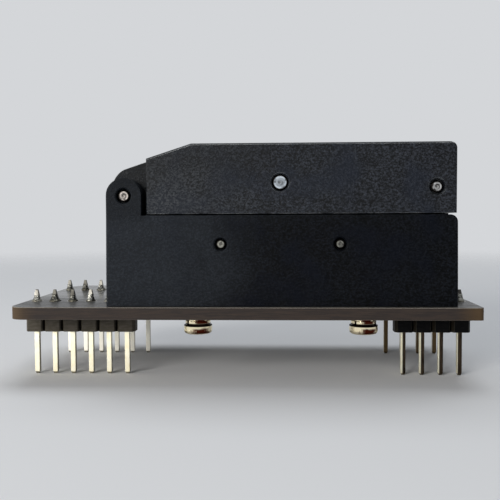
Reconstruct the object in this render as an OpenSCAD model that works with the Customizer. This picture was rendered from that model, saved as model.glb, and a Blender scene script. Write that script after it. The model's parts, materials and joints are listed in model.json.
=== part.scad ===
// Clamshell chip socket on a plug-in board. A ball-grid chip lies in the floating nest, the lid
// presses it onto spring probes, and the pins under the board plug into a programmer's wide socket.
// Origin: middle of the pin field on the plane of the pin tips. +X runs to the latch, +Y to the
// rear and +Z up. All sizes are in millimetres.

/* [Pin headers] */
// Distance between neighbouring pins of a row
pin_pitch = 2.54; // [2.5:0.01:2.6]
// Distance between the two pin rows
row_gap = 15.24; // [14.5:0.01:16]
// Columns of the full pin field
pin_columns = 24; // [24:1:28]
// Pins fitted at the hinge end of each row
left_pins = 6; // [3:1:6]
// Pins fitted at the latch end of each row
right_pins = 4; // [2:1:4]
// Side of a square pin
pin_w = 0.64; // [0.5:0.02:0.7]
// Length of the taper at a pin's lower end
pin_tip_l = 0.3; // [0.2:0.05:0.8]
// Length of a pin below its plastic strip
pin_below = 6; // [4.5:0.1:8]
// Length of a pin above the board
pin_above = 1.6; // [1.3:0.1:1.7]
// Height of the plastic strip
strip_h = 2.54; // [1.5:0.01:3]
// Width of the plastic strip
strip_w = 2.5; // [2.2:0.05:2.54]
// Depth of the notches between strip segments
strip_notch = 0.5; // [0.3:0.05:0.6]
// Width of these notches at their mouth
strip_notch_w = 0.66; // [0.4:0.02:1]
// Diameter of a solder joint's foot
solder_d = 1.45; // [1.3:0.05:1.8]
// Height of a solder joint
solder_h = 0.75; // [0.5:0.05:1.2]

/* [Board] */
// Depth of the board from front to rear
board_w = 30; // [29:0.5:40]
// Thickness of the board
board_t = 1.6; // [1:0.1:2.4]
// Board edge beyond the end pins
board_end_margin = 1.29; // [1.1:0.01:4]
// Corner radius at the front, hinge end
front_left_r = 2; // [0.5:0.1:4]
// Corner radius at the front, latch end
front_right_r = 0.6; // [0.5:0.1:4]
// Corner radius at the rear
rear_corner_r = 3; // [1:0.1:7]

/* [Socket base] */
// Middle of the socket along the board
socket_x = 4.8; // [3:0.1:6]
// Length of the socket
socket_l = 45.2; // [45:0.1:47]
// Depth of the socket from front to rear
socket_w = 27.4; // [27:0.1:29]
// Height of the base
base_h = 11.8; // [11.6:0.1:13]
// Rounded top edge at the latch end
base_edge_r = 1; // [0.4:0.1:1.4]
// Spread of the base's ends from top to foot
base_draft = 0.15; // [0.05:0.01:0.25]
// Width of the ribs that stop the lid
stop_rib_w = 1; // [0.6:0.05:1.2]
// Setback of these ribs from the base's front and rear
stop_rib_inset = 1; // [0.8:0.05:1.2]
// Rounding of the upright edges of base and lid
upright_r = 0.4; // [0.2:0.05:0.8]
// Height of the relief over the solder joints
relief_h = 2.2; // [2:0.1:2.6]
// Depth of the pegs that locate the base in the board
peg_l = 1.3; // [0.8:0.1:1.5]
// Diameter of the locating pegs
peg_d = 1.5; // [1:0.1:2]
// Distance of the pegs from the middle of the socket
peg_reach = 13.2; // [12.5:0.1:14]

/* [Hinge] */
// Thickness of a hinge ear
ear_t = 3; // [2.4:0.1:3.6]
// Radius of a hinge ear
ear_r = 2.3; // [2.2:0.05:2.5]
// Hinge axis above the top of the base
hinge_rise = 2.56; // [2.56:0.01:2.8]
// Diameter of the hinge pin
hinge_pin_d = 1.5; // [1.2:0.1:1.6]
// Width of the slot for the hinge spring
spring_slot_w = 7; // [6.4:0.1:9]
// Wire of the hinge spring
hinge_wire = 0.5; // [0.4:0.02:0.52]
// Full turns of the hinge spring
hinge_turns = 8; // [5:1:9]
// Length of the spring's leg under the lid
lid_leg_l = 4.4; // [3.8:0.1:5.4]
// Depth of the spring's other leg in the base
base_leg_depth = 1.5; // [1:0.1:3]

/* [Lid] */
// Height of the lid
lid_h = 9.06; // [8.8:0.02:11]
// Parting gap between lid and base
parting_gap = 0.2; // [0.15:0.01:0.3]
// Gap between the ears and the lid's end face
heel_gap = 0.65; // [0.5:0.05:0.9]
// Height of the lid's end face at the hinge
heel_h = 7.15; // [6.8:0.05:7.6]
// Length of the lid's sloped shoulder
slope_l = 5.9; // [4.5:0.1:8]
// Radius of the heel that turns between the ears
heel_r = 3; // [2.6:0.05:3]
// Rounded top edge at the latch end
lid_edge_r = 1; // [0.4:0.1:1.4]
// Chamfer along the lid's upper edges
lid_chamfer = 0.2; // [0.1:0.02:0.3]
// Step from the base's end to the lid's end
lid_end_step = 0.1; // [0:0.05:0.4]
// Thickness of the lid's roof
roof_t = 2; // [1.4:0.1:2.2]
// Wall left round the moulding pockets
core_wall = 1.7; // [1.2:0.1:2]
// Depth of the moulding pockets
core_h = 5.4; // [3:0.1:5.8]
// Rib between the moulding pockets
core_rib = 1.6; // [1.2:0.1:2.4]

/* [Pusher] */
// Diameter of the pusher's pin
pusher_pin_d = 2; // [1.6:0.1:2.2]
// Width of the ring round the pusher pin's end
pusher_ring = 0.1; // [0.08:0.02:0.3]
// Height of that pin above the lid's underside
pusher_pin_rise = 4; // [3.8:0.1:4.4]
// Length of the pusher plate
pusher_l = 14.4; // [13:0.1:15]
// Depth of the pusher plate
pusher_w = 16.8; // [15:0.1:17.4]
// Thickness of the pusher plate
pusher_t = 2.6; // [1.6:0.1:3]
// Radius of the hub round the pusher's pin
pusher_hub_r = 2.4; // [2:0.1:2.5]
// Room beside the pusher for its rocking
pusher_room = 0.7; // [0.6:0.05:1]

/* [Latch] */
// Width of the latch
latch_w = 11.6; // [9:0.1:13]
// Diameter of the latch pin
latch_pin_d = 1.5; // [1.2:0.1:1.6]
// Latch pin from the end of the base
latch_inset = 2.65; // [2.6:0.05:2.8]
// Latch pin above the lid's underside
latch_rise = 3.35; // [3.2:0.05:3.8]
// Radius of the latch's hub
latch_hub_r = 1.75; // [1.5:0.05:1.85]
// Thickness of the latch's thumb tab
tab_t = 2.5; // [2.2:0.05:2.6]
// Thickness of the latch's arm
arm_t = 1.15; // [1:0.05:1.3]
// Height of the hook
hook_h = 1.75; // [1.4:0.05:2]
// Underside of the catch below the top of the base
catch_drop = 4.85; // [4:0.05:5.2]
// How far the hook reaches under the catch
hook_grip = 0.85; // [0.6:0.05:0.95]
// Thickness of the catch at its nose
catch_t = 1.2; // [0.8:0.05:1.6]
// Grip grooves on the thumb tab
grip_count = 3; // [1:1:4]
// Distance between grip grooves
grip_pitch = 1; // [0.7:0.05:1]
// Wire of the latch springs
latch_wire = 0.3; // [0.2:0.02:0.34]
// Outer diameter of the latch springs
latch_spring_d = 1.9; // [1.5:0.05:2.2]
// Turns of a latch spring
latch_turns = 5; // [4:1:6]
// Distance between the latch springs
latch_spring_gap = 6; // [4:0.1:6.4]

/* [Nest] */
// Length of the chip
chip_l = 9; // [8:0.1:9.6]
// Depth of the chip
chip_w = 11; // [10:0.1:11.6]
// Height of the chip
chip_h = 1; // [0.8:0.05:1.2]
// Length of the nest
nest_l = 19.4; // [18.6:0.1:20]
// Depth of the nest
nest_w = 21; // [20:0.1:21.4]
// Height of the nest's plate
nest_h = 3.2; // [3:0.05:3.4]
// Floor of the chip pocket
nest_floor_t = 0.8; // [0.5:0.05:1]
// Straight wall of the chip pocket
pocket_wall_h = 0.7; // [0.5:0.05:0.9]
// Widening of the pocket's lead-in on each side
lead_in = 1.3; // [1.1:0.05:1.4]
// Travel of the nest
nest_travel = 0.5; // [0.3:0.05:0.6]
// Diameter of the cross pins that keep the nest
nest_pin_d = 1.2; // [1:0.05:1.3]
// Distance between the cross pins
nest_pin_gap = 15.4; // [15:0.1:15.8]
// Cross pins below the top of the base
nest_pin_drop = 3.75; // [3.6:0.05:3.8]
// Diameter of the index dimple at the key corner
index_d = 1; // [0.8:0.05:1.2]
// Radius of the tweezer notches beside the pocket
notch_r = 1.6; // [1:0.1:2]
// Wire of the nest springs
nest_wire = 0.28; // [0.2:0.02:0.3]
// Outer diameter of the nest springs
nest_spring_d = 1.8; // [1.4:0.05:2]
// Turns of a nest spring
nest_turns = 4; // [3:1:5]
// Distance between nest springs along the socket
nest_spring_gap_x = 10; // [8:0.1:10.4]
// Distance between nest springs across the socket
nest_spring_gap_y = 17.6; // [17.4:0.1:17.8]

/* [Probes] */
// Distance between neighbouring probes
ball_pitch = 0.8; // [0.76:0.01:0.84]
// Probe columns along the socket
ball_columns = 10; // [8:1:10]
// Probe rows across the socket
ball_rows = 12; // [10:1:12]
// Diameter of a probe's barrel
barrel_d = 0.5; // [0.44:0.02:0.52]
// Diameter of a probe's plunger
plunger_d = 0.31; // [0.26:0.01:0.32]
// Thickness of the lower probe plate
lower_plate_t = 2.2; // [1.8:0.1:2.4]
// Side of the lower probe plate
lower_plate_l = 19; // [18:0.1:19.4]
// Thickness of the upper probe plate
upper_plate_t = 3; // [2.8:0.1:3.2]
// Side of the upper probe plate
upper_plate_l = 17; // [16:0.1:17.4]
// Thickness of the flange over the upper probe plate
flange_t = 1; // [0.8:0.05:1.1]
// Opening in that flange
flange_open = 14; // [13.4:0.1:14.4]
// Plate left at the narrow end of a probe hole
neck_t = 0.6; // [0.4:0.05:0.8]

/* [Fasteners] */
// Distance between mounting screws along the board
screw_gap_x = 22; // [21.6:0.1:24]
// Distance between mounting screws across the board
screw_gap_y = 22; // [21.6:0.1:22.4]
// Diameter of a mounting screw
screw_d = 2; // [1.6:0.1:2.2]
// Diameter of a screw head
head_d = 3.75; // [3:0.05:4.2]
// Height of a screw head
head_h = 1.15; // [0.9:0.05:1.4]
// Rounded edge of a screw head
head_r = 0.45; // [0.2:0.05:0.6]
// Depth of the cross slot
cross_h = 0.7; // [0.4:0.05:0.8]
// Diameter of a spring washer
spring_washer_d = 3.35; // [2.9:0.05:4]
// Thickness of a spring washer
spring_washer_t = 0.6; // [0.4:0.05:0.8]
// Diameter of a plain washer
washer_d = 2.9; // [2.8:0.05:4]
// Thickness of a plain washer
washer_t = 0.55; // [0.3:0.05:0.6]
// Diameter of a threaded insert
insert_d = 3.2; // [2.8:0.1:3.4]
// Length of a threaded insert
insert_l = 3.6; // [3:0.1:4.4]
// Diameter of a plate screw
plate_screw_d = 1.2; // [1:0.1:1.3]
// Head of a plate screw
plate_head_d = 1.9; // [1.7:0.1:2.1]
// Length of a plate screw
plate_screw_l = 4.4; // [3.6:0.1:4.8]

/* [Fits] */
// Side clearance of a piece that slides or swings
slide_gap = 0.2; // [0.15:0.01:0.25]
// Radial clearance of a turning pin
run_gap = 0.05; // [0.02:0.01:0.08]
// Radial clearance of a seated piece
seat_gap = 0.02; // [0.01:0.005:0.03]
// Depth of a pin's end below the face round it
pin_sink = 0.25; // [0.15:0.05:0.4]
// Depth of the counterbore round a pin's end
bore_sink = 1; // [0.7:0.05:1.3]
// Width of the ring round a pin's end
bore_ring = 0.22; // [0.16:0.02:0.3]
// Chamfer on the mouth of the counterbore
bore_chamfer = 0.15; // [0.05:0.01:0.25]
// Chamfer on a pin's end
pin_chamfer = 0.12; // [0.05:0.01:0.2]

/* [Hidden] */

$fn = 48;
wire_sides = 6;
turn_steps = 14;
over = 0.5;
half = 0.5;
mitre = 45;
chamfer_room = 2;

// Heights of the stack
z_strip = pin_below;
z_board = z_strip + strip_h;
z_top = z_board + board_t;
z_part = z_top + base_h;
z_lid = z_part + parting_gap;
z_roof = z_lid + lid_h;
z_lower = z_top + lower_plate_t;
z_upper = z_lower + upper_plate_t;
z_flange = z_upper + flange_t;
nest_lift = 0.15;
z_nest = z_flange + nest_travel + nest_lift;
z_nest_boss = z_upper + nest_travel + nest_lift;
z_seat = z_nest_boss + nest_floor_t;
z_nest_top = z_nest + nest_h;
z_nest_pin = z_part - nest_pin_drop;
z_spring_washer = z_board - washer_t;
z_head = z_spring_washer - spring_washer_t;

// Ends of the socket and the hinge axis
x_left = socket_x - socket_l / 2;
x_right = socket_x + socket_l / 2;
x_lid_end = x_right - lid_end_step;
x_hinge = x_left + ear_r;
z_hinge = z_part + hinge_rise;
x_heel = x_hinge + ear_r + heel_gap;
x_stop = x_right - base_edge_r;
stop_y = (socket_w - stop_rib_w) / 2 - stop_rib_inset;
ear_inner = socket_w / 2 - ear_t;
knuckle_w = 2 * (ear_inner - slide_gap);
slope_angle = atan2(lid_h - heel_h, slope_l);
heel_sink = 0.04;

// Pin field
first_pin = -(pin_columns - 1) / 2 * pin_pitch;
board_l = (pin_columns - 1) * pin_pitch + 2 * board_end_margin;
front_radii = [front_right_r, front_left_r];
row_y = row_gap / 2;
left_columns = [for (i = [0 : left_pins - 1]) first_pin + i * pin_pitch];
right_columns = [for (i = [pin_columns - right_pins : pin_columns - 1]) first_pin + i * pin_pitch];
hole_room = 0.1;
tip_share = 0.6;
solder_wall = 0.08;
pin_hole_d = pin_w * sqrt(2) + hole_room;

// Pusher
z_pusher_pin = z_lid + pusher_pin_rise;
nest_clear = 0.4;
z_pusher_plate = z_nest_top + nest_clear;
z_pusher_face = z_seat + chip_h - nest_travel;
face_inset = 0.3;
pocket_gap = 0.1;
index_inset = 3;
z_ceiling = z_roof - roof_t;

// Latch
x_latch = x_right - latch_inset;
z_latch = z_lid + latch_rise;
latch_face_step = 0.2;
x_latch_face = x_lid_end - latch_face_step;
x_arm = x_latch_face - arm_t;
x_catch = x_arm - slide_gap;
x_hook = x_catch - hook_grip;
x_channel = x_hook - slide_gap - pin_sink;
z_catch = z_part - catch_drop;
z_hook = z_catch - slide_gap;
hub_room = 0.4;
x_latch_slot = x_latch - latch_hub_r - hub_room;
latch_slot_w = latch_w + 2 * slide_gap;
x_tab = x_latch_face - tab_t;
z_tab_top = z_roof - latch_face_step;
latch_seat_depth = 1;
tab_seat_depth = 0.5;
z_latch_spring = (z_latch + latch_hub_r + z_tab_top) / 2;
spring_room = 0.2;

// Share of a screw head that its cross slot spans
cross_share = 0.6;

// Springs and probes
coil_room = 0.3;
coil_ratio = 1.15;
hinge_coil_r = hinge_pin_d / 2 + coil_room + hinge_wire / 2;
hinge_coil_pitch = hinge_wire * coil_ratio;
hinge_coil_l = (hinge_turns + 1 / 4) * hinge_coil_pitch;
nest_seat_depth = 1.6;
plunger_tip_drop = 0.1;
plunger_travel = 0.4;
ball_sites = [
    for (c = [0 : ball_columns - 1], r = [0 : ball_rows - 1])
        if (has_ball(c, r)) [
            socket_x + (c - (ball_columns - 1) / 2) * ball_pitch,
            (r - (ball_rows - 1) / 2) * ball_pitch
        ]
];
screw_sites = [
    for (sx = [-1, 1], sy = [-1, 1])
        [socket_x + sx * screw_gap_x / 2, sy * screw_gap_y / 2]
];
plate_screw_inset = 1.6;
plate_screw_reach = lower_plate_l / 2 - plate_screw_inset;
plate_screw_sites = [
    for (sx = [-1, 1], sy = [-1, 1])
        [socket_x + sx * plate_screw_reach, sy * plate_screw_reach]
];
nest_spring_sites = [
    for (sx = [-1, 1], sy = [-1, 1])
        [socket_x + sx * nest_spring_gap_x / 2, sy * nest_spring_gap_y / 2]
];

// The ball pattern: a full middle field, two-ball groups in the corners, one ball left out as key
function edge_index(i, count) = min(i, count - 1 - i);
function has_ball(c, r) =
    let (ec = edge_index(c, ball_columns), er = edge_index(r, ball_rows))
    let (key = c == 1 && r == ball_rows - 2)
    !key && ((ec >= 2 && er >= 2) || (ec < 2 && er < 2));

// Shapes used by several pieces

// A profile drawn in X and Z, drawn out along Y about the middle plane
module along_y(w) {
    translate([0, w / 2, 0])
        rotate([90, 0, 0])
            linear_extrude(w) children();
}

// A profile drawn in Y and Z, drawn out along X about x = 0
module along_x(l) {
    translate([-l / 2, 0, 0])
        rotate([90, 0, 90])
            linear_extrude(l) children();
}

// A box by its middle in plan and its two heights
module block(l, w, z0, z1, x = 0, y = 0) {
    translate([x - l / 2, y - w / 2, z0]) cube([l, w, z1 - z0]);
}

// A round post between two heights
module post(d, z0, z1) {
    translate([0, 0, z0]) cylinder(d = d, h = z1 - z0);
}

// A rod along Y through a point in X and Z
module rod_y(d, l, x, z) {
    translate([x, 0, z]) rotate([90, 0, 0]) cylinder(d = d, h = l, center = true);
}

// A steel cross pin with chamfered ends, sunk a little below the faces of a body of width w
module cross_pin(d, w, x, z) {
    l = w - 2 * pin_sink;
    translate([x, l / 2, z]) rotate([90, 0, 0])
        rotate_extrude() polygon([
            [0, 0], [d / 2 - pin_chamfer, 0], [d / 2, pin_chamfer],
            [d / 2, l - pin_chamfer], [d / 2 - pin_chamfer, l], [0, l]
        ]);
}

// The hole for a cross pin: a bore with a wider, chamfered counterbore at both outer faces
module cross_bore(d, w, x, z, ring = bore_ring) {
    r = d / 2 + ring;
    rod_y(d + 2 * seat_gap, w + 2 * over, x, z);
    for (s = [0, 1])
        mirror([0, s, 0]) translate([x, w / 2 - bore_sink, z]) rotate([-90, 0, 0])
            rotate_extrude() polygon([
                [0, 0], [r, 0], [r, bore_sink - bore_chamfer],
                [r + bore_chamfer + over, bore_sink + over], [0, bore_sink + over]
            ]);
}

// What is cut from a square corner to round it, with the corner at the origin
module corner_cut(r) {
    translate([-r, -r]) difference() {
        square(r + over);
        circle(r);
    }
}

// A block as wide as the socket between two ends and two heights, with rounded upright edges
module moulding_block(x0, x1, z0, z1) {
    translate([(x0 + x1) / 2, 0, z0]) linear_extrude(z1 - z0) difference() {
        square([x1 - x0, socket_w], center = true);
        for (s = [0, 1], t = [0, 1]) mirror([s, 0]) mirror([0, t])
            translate([(x1 - x0) / 2, socket_w / 2]) corner_cut(upright_r);
    }
}

// What chamfers the front and rear edge of a face that runs from one point in X and Z to another
module edge_chamfer(from, to, leg) {
    run = to - from;
    l = norm(run) + 2 * chamfer_room;
    for (s = [-1, 1])
        translate([from[0], s * socket_w / 2, from[1]])
            rotate([0, -atan2(run[1], run[0]), 0])
                rotate([-s * mitre, 0, 0])
                    translate([-chamfer_room, -chamfer_room, -leg * sqrt(half)])
                        cube([l, 2 * chamfer_room, chamfer_room]);
}

// A plan outline with its own radius at the front and at the rear corners
module board_outline() {
    difference() {
        square([board_l, board_w], center = true);
        for (s = [0, 1]) mirror([s, 0]) {
            translate([board_l / 2, board_w / 2]) corner_cut(rear_corner_r);
            translate([board_l / 2, -board_w / 2]) mirror([0, 1]) corner_cut(front_radii[s]);
        }
    }
}

// One ring of wire round the point p, in the plane of the directions u and v
function wire_ring(p, u, v, r) = [
    for (k = [0 : wire_sides - 1])
        p + r * cos(360 * k / wire_sides) * u + r * sin(360 * k / wire_sides) * v
];

// A wire coil that climbs along +Z from z = 0, starts at angle 0 and has a straight leg at each end
module coil(coil_r, wire, pitch, turns, start_leg = 0, end_leg = 0) {
    steps = ceil(turns * turn_steps);
    up = [0, 0, 1];
    at = function(a) [coil_r * cos(a), coil_r * sin(a), pitch * a / 360];
    out = function(a) [cos(a), sin(a), 0];
    ahead = function(a) [-sin(a), cos(a), 0];
    last = 360 * turns;
    rings = concat(
        start_leg > 0 ? [wire_ring(at(0) - start_leg * ahead(0), out(0), up, wire / 2)] : [],
        [for (k = [0 : steps]) wire_ring(at(last * k / steps), out(last * k / steps), up, wire / 2)],
        end_leg > 0 ? [wire_ring(at(last) + end_leg * ahead(last), out(last), up, wire / 2)] : []
    );
    count = len(rings);
    sides = [
        for (i = [0 : count - 2], k = [0 : wire_sides - 1])
            let (n = (k + 1) % wire_sides)
            [i * wire_sides + k, (i + 1) * wire_sides + k, (i + 1) * wire_sides + n, i * wire_sides + n]
    ];
    first_cap = [for (k = [0 : wire_sides - 1]) k];
    last_cap = [for (k = [wire_sides - 1 : -1 : 0]) (count - 1) * wire_sides + k];
    polyhedron([for (ring = rings) each ring], concat([first_cap], sides, [last_cap]));
}

// A compression spring of a given length along +Z
module compression_spring(d, wire, turns, l) {
    translate([0, 0, wire / 2]) coil((d - wire) / 2, wire, (l - wire) / turns, turns);
}

// The board with its pins and solder

module board() {
    color("#1c1b1a") difference() {
        translate([0, 0, z_board]) linear_extrude(board_t) board_outline();
        for (x = concat(left_columns, right_columns), y = [-row_y, row_y])
            translate([x, y, 0]) post(pin_hole_d, z_board - over, z_top + over);
        for (p = screw_sites) translate(p) post(screw_d + 2 * slide_gap, z_board - over, z_top + over);
        for (s = [-1, 1])
            translate([socket_x + s * peg_reach, 0, 0])
                post(peg_d + 2 * run_gap, z_board - over, z_top + over);
    }
}

// Plan of a strip: a segment for each column, narrowed between neighbours
module strip_outline(columns) {
    end = columns[len(columns) - 1] + pin_pitch / 2;
    front = [
        for (x = columns) each [
            [x - pin_pitch / 2, strip_notch - strip_w / 2],
            [x - pin_pitch / 2 + strip_notch_w / 2, -strip_w / 2],
            [x + pin_pitch / 2 - strip_notch_w / 2, -strip_w / 2]
        ],
        [end, strip_notch - strip_w / 2]
    ];
    rear = [for (i = [len(front) - 1 : -1 : 0]) [front[i][0], -front[i][1]]];
    polygon(concat(front, rear));
}

module strip(columns, y) {
    color("#15130f") translate([0, y, z_strip]) linear_extrude(strip_h) difference() {
        strip_outline(columns);
        for (x = columns) translate([x, 0]) square(pin_w + 2 * seat_gap, center = true);
    }
}

module strip_front_left() { strip(left_columns, -row_y); }
module strip_rear_left() { strip(left_columns, row_y); }
module strip_front_right() { strip(right_columns, -row_y); }
module strip_rear_right() { strip(right_columns, row_y); }

// Side view of a pin with its two tapered ends
module pin_side() {
    l = z_top + pin_above;
    tip_w = pin_w * tip_share;
    top_w = pin_w * half;
    top_z = z_top + solder_h;
    polygon([
        [-tip_w / 2, 0], [tip_w / 2, 0], [pin_w / 2, pin_tip_l], [pin_w / 2, top_z],
        [top_w / 2, l], [-top_w / 2, l], [-pin_w / 2, top_z], [-pin_w / 2, pin_tip_l]
    ]);
}

module header_pin() {
    intersection() {
        along_y(pin_w) pin_side();
        along_x(pin_w) pin_side();
    }
}

module header_pins(columns, y) {
    color("#e8dcae") for (x = columns) translate([x, y, 0]) header_pin();
}

module pins_front_left() { header_pins(left_columns, -row_y); }
module pins_rear_left() { header_pins(left_columns, row_y); }
module pins_front_right() { header_pins(right_columns, -row_y); }
module pins_rear_right() { header_pins(right_columns, row_y); }

// Side view of a solder joint, whose hollow flanks run up from the foot to the pin
module solder_side() {
    neck = pin_w / 2 + seat_gap + solder_wall;
    flank = solder_d / 2 - neck;
    r = (flank * flank + solder_h * solder_h) / (2 * flank);
    translate([0, z_top]) difference() {
        translate([-solder_d / 2, 0]) square([solder_d, solder_h]);
        for (s = [-1, 1]) translate([s * (neck + r), solder_h]) circle(r);
    }
}

// A solder joint, open for its pin
module solder_joint() {
    difference() {
        intersection() {
            along_y(solder_d) solder_side();
            along_x(solder_d) solder_side();
            post(solder_d, z_top, z_top + solder_h);
        }
        block(pin_w + 2 * seat_gap, pin_w + 2 * seat_gap, z_top - over, z_top + solder_h + over);
    }
}

module solder_joints() {
    color("#b9bcc0") for (x = concat(left_columns, right_columns), y = [-row_y, row_y])
        translate([x, y, 0]) solder_joint();
}

// The base and what it holds

// Side view of the base below the parting line
module base_side() {
    difference() {
        polygon([
            [x_left - base_draft, z_top], [x_right + base_draft, z_top], [x_right, z_part - base_edge_r],
            [x_right, z_part], [x_left, z_part]
        ]);
        translate([x_right, z_part]) corner_cut(base_edge_r);
    }
}

// Side view of a hinge ear
module ear_side() {
    translate([x_left, z_part - over]) square([2 * ear_r, hinge_rise + over]);
    translate([x_hinge, z_hinge]) circle(ear_r);
}

// Side view of the catch under which the hook grips
module catch_side() {
    nose = x_catch - x_channel;
    polygon([
        [x_channel - over, z_catch], [x_catch, z_catch], [x_catch, z_catch + catch_t],
        [x_channel, z_catch + catch_t + nose], [x_channel - over, z_catch + catch_t + nose]
    ]);
}

// The open channel for the latch in the end of the base
module latch_channel() {
    floor_z = z_hook - hook_h - slide_gap - over;
    difference() {
        translate([x_channel, -latch_slot_w / 2, floor_z])
            cube([x_right - x_channel + over, latch_slot_w, z_part - floor_z + over]);
        along_y(latch_slot_w) catch_side();
    }
}

// The stepped well for the probe plates and the nest
module base_well() {
    lower = lower_plate_l + 2 * run_gap;
    upper = upper_plate_l + 2 * run_gap;
    block(lower, lower, z_top - over, z_lower, socket_x);
    block(upper, upper, z_lower - over, z_upper, socket_x);
    block(flange_open, flange_open, z_upper - over, z_flange + over, socket_x);
    block(nest_l + 2 * slide_gap, nest_w + 2 * slide_gap, z_flange, z_part + over, socket_x);
}

// Slots over the soldered pins that run under the base
module solder_relief() {
    w = solder_d + 4 * slide_gap;
    left_end = left_columns[left_pins - 1] + w / 2;
    right_end = right_columns[0] - w / 2;
    for (y = [-row_y, row_y]) {
        translate([x_left - over, y - w / 2, z_top - over])
            cube([max(left_end - x_left, 0) + over, w, relief_h + over]);
        translate([right_end, y - w / 2, z_top - over])
            cube([max(x_right - right_end, 0) + over, w, relief_h + over]);
    }
}

module socket_base() {
    color("#22262a") difference() {
        union() {
            intersection() {
                union() {
                    along_y(socket_w) base_side();
                    for (s = [-1, 1])
                        translate([0, s * (socket_w - ear_t) / 2, 0]) along_y(ear_t) ear_side();
                }
                moulding_block(x_left - base_draft, x_right + base_draft, z_top, z_roof);
            }
            for (s = [-1, 1]) {
                translate([(x_heel + x_stop) / 2, s * stop_y, 0])
                    block(x_stop - x_heel, stop_rib_w, z_part - over, z_lid - run_gap);
                translate([socket_x + s * peg_reach, 0, 0]) post(peg_d, z_top - peg_l, z_top + over);
            }
        }
        base_well();
        latch_channel();
        solder_relief();
        cross_bore(hinge_pin_d, socket_w, x_hinge, z_hinge);
        for (s = [-1, 1])
            cross_bore(nest_pin_d, socket_w, socket_x + s * nest_pin_gap / 2, z_nest_pin);
        for (p = screw_sites) translate(p) {
            post(insert_d + 2 * seat_gap, z_top - over, z_top + insert_l);
            post(screw_d + 2 * slide_gap, z_top, z_top + insert_l + screw_d);
        }
        for (p = plate_screw_sites) translate(p)
            post(plate_screw_d + 2 * seat_gap, z_lower - over, z_top + plate_screw_l + slide_gap);
        translate([x_hinge - hinge_coil_r, -hinge_coil_l / 2, 0])
            post(hinge_wire + 2 * run_gap, z_part - base_leg_depth - run_gap, z_part + over);
    }
}

// Narrow and wide part of the probe holes in a plate
module probe_holes(narrow_d, narrow_z, wide_d, wide_z) {
    for (p = ball_sites) translate(p) {
        post(narrow_d, narrow_z[0], narrow_z[1]);
        post(wide_d, wide_z[0], wide_z[1]);
    }
}

module lower_probe_plate() {
    hole = barrel_d + 2 * seat_gap;
    neck = plunger_d + 2 * seat_gap;
    color("#6b4a23") difference() {
        block(lower_plate_l, lower_plate_l, z_top, z_lower, socket_x);
        probe_holes(neck, [z_top - over, z_top + neck_t + over], hole, [z_top + neck_t, z_lower + over]);
        for (p = plate_screw_sites) translate(p) {
            post(plate_screw_d + 2 * seat_gap, z_top - over, z_lower + over);
            post(plate_head_d + 2 * seat_gap, z_top - over, z_top + lower_plate_t * half);
        }
    }
}

module upper_probe_plate() {
    hole = barrel_d + 2 * seat_gap;
    neck = plunger_d + 2 * seat_gap;
    corner = 2 * (upper_plate_l / 2 - plate_screw_reach) + plate_screw_d + 4 * seat_gap;
    color("#6b4a23") difference() {
        block(upper_plate_l, upper_plate_l, z_lower, z_upper, socket_x);
        probe_holes(neck, [z_upper - neck_t - over, z_upper + over],
            hole, [z_lower - over, z_upper - neck_t]);
        for (s = [-1, 1], t = [-1, 1])
            block(corner, corner, z_lower - over, z_upper + over,
                socket_x + s * upper_plate_l / 2, t * upper_plate_l / 2);
    }
}

// A probe's barrel, closed at its lower end by the contact that stands on the board
module probe_barrel() {
    r = barrel_d / 2;
    bore_r = plunger_d / 2 + seat_gap;
    foot_r = plunger_d / 2;
    floor_t = 0.4;
    rotate_extrude() polygon([
        [0, z_top], [foot_r * half, z_top], [foot_r, z_top + foot_r], [foot_r, z_top + neck_t],
        [r, z_top + neck_t], [r, z_upper - neck_t - seat_gap], [bore_r, z_upper - neck_t - seat_gap],
        [bore_r, z_top + neck_t + floor_t], [0, z_top + neck_t + floor_t]
    ]);
}

module probe_barrels() {
    color("#c9a24a") for (p = ball_sites) translate(p) probe_barrel();
}

// A probe's plunger with a pointed tip
module probe_plunger() {
    r = plunger_d / 2;
    tip_z = z_seat - plunger_tip_drop;
    foot_z = z_lower + plunger_travel;
    rotate_extrude() polygon([[0, foot_z], [r, foot_z], [r, tip_z - r], [r * half, tip_z], [0, tip_z]]);
}

module probe_plungers() {
    color("#e0be62") for (p = ball_sites) translate(p) probe_plunger();
}

module plate_screws() {
    head_z = z_top + lower_plate_t * half;
    color("#9a9c9f") for (p = plate_screw_sites) translate(p) difference() {
        union() {
            post(plate_head_d, z_top + run_gap, head_z);
            post(plate_screw_d, head_z - run_gap, z_top + plate_screw_l);
        }
        block(plate_head_d, plate_screw_d / 4, z_top - over, z_top + plate_screw_d / 3);
    }
}

// The funnel above the chip pocket, drawn in one direction
module funnel_side(w) {
    low = z_seat + pocket_wall_h;
    top = z_nest_top + over;
    wide = lead_in * (top - low) / (z_nest_top - low);
    polygon([[-w / 2, low], [w / 2, low], [w / 2 + wide, top], [-w / 2 - wide, top]]);
}

// The pocket that holds the chip
module chip_pocket() {
    l = chip_l + 2 * pocket_gap;
    w = chip_w + 2 * pocket_gap;
    span = l + w;
    block(l, w, z_seat, z_nest_top);
    intersection() {
        along_y(span) funnel_side(l);
        along_x(span) funnel_side(w);
    }
    for (s = [-1, 1])
        translate([s * l / 2, 0, 0]) post(2 * notch_r, z_seat + pocket_wall_h, z_nest_top + over);
}

// The slot in which a cross pin lets the nest sink
module nest_pin_slot(x) {
    low = z_nest_pin;
    high = z_nest_pin + nest_travel + run_gap;
    d = nest_pin_d + 2 * run_gap;
    rod_y(d, nest_w + 2 * over, x, low);
    rod_y(d, nest_w + 2 * over, x, high);
    block(d, nest_w + 2 * over, low, high, x);
}

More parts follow.
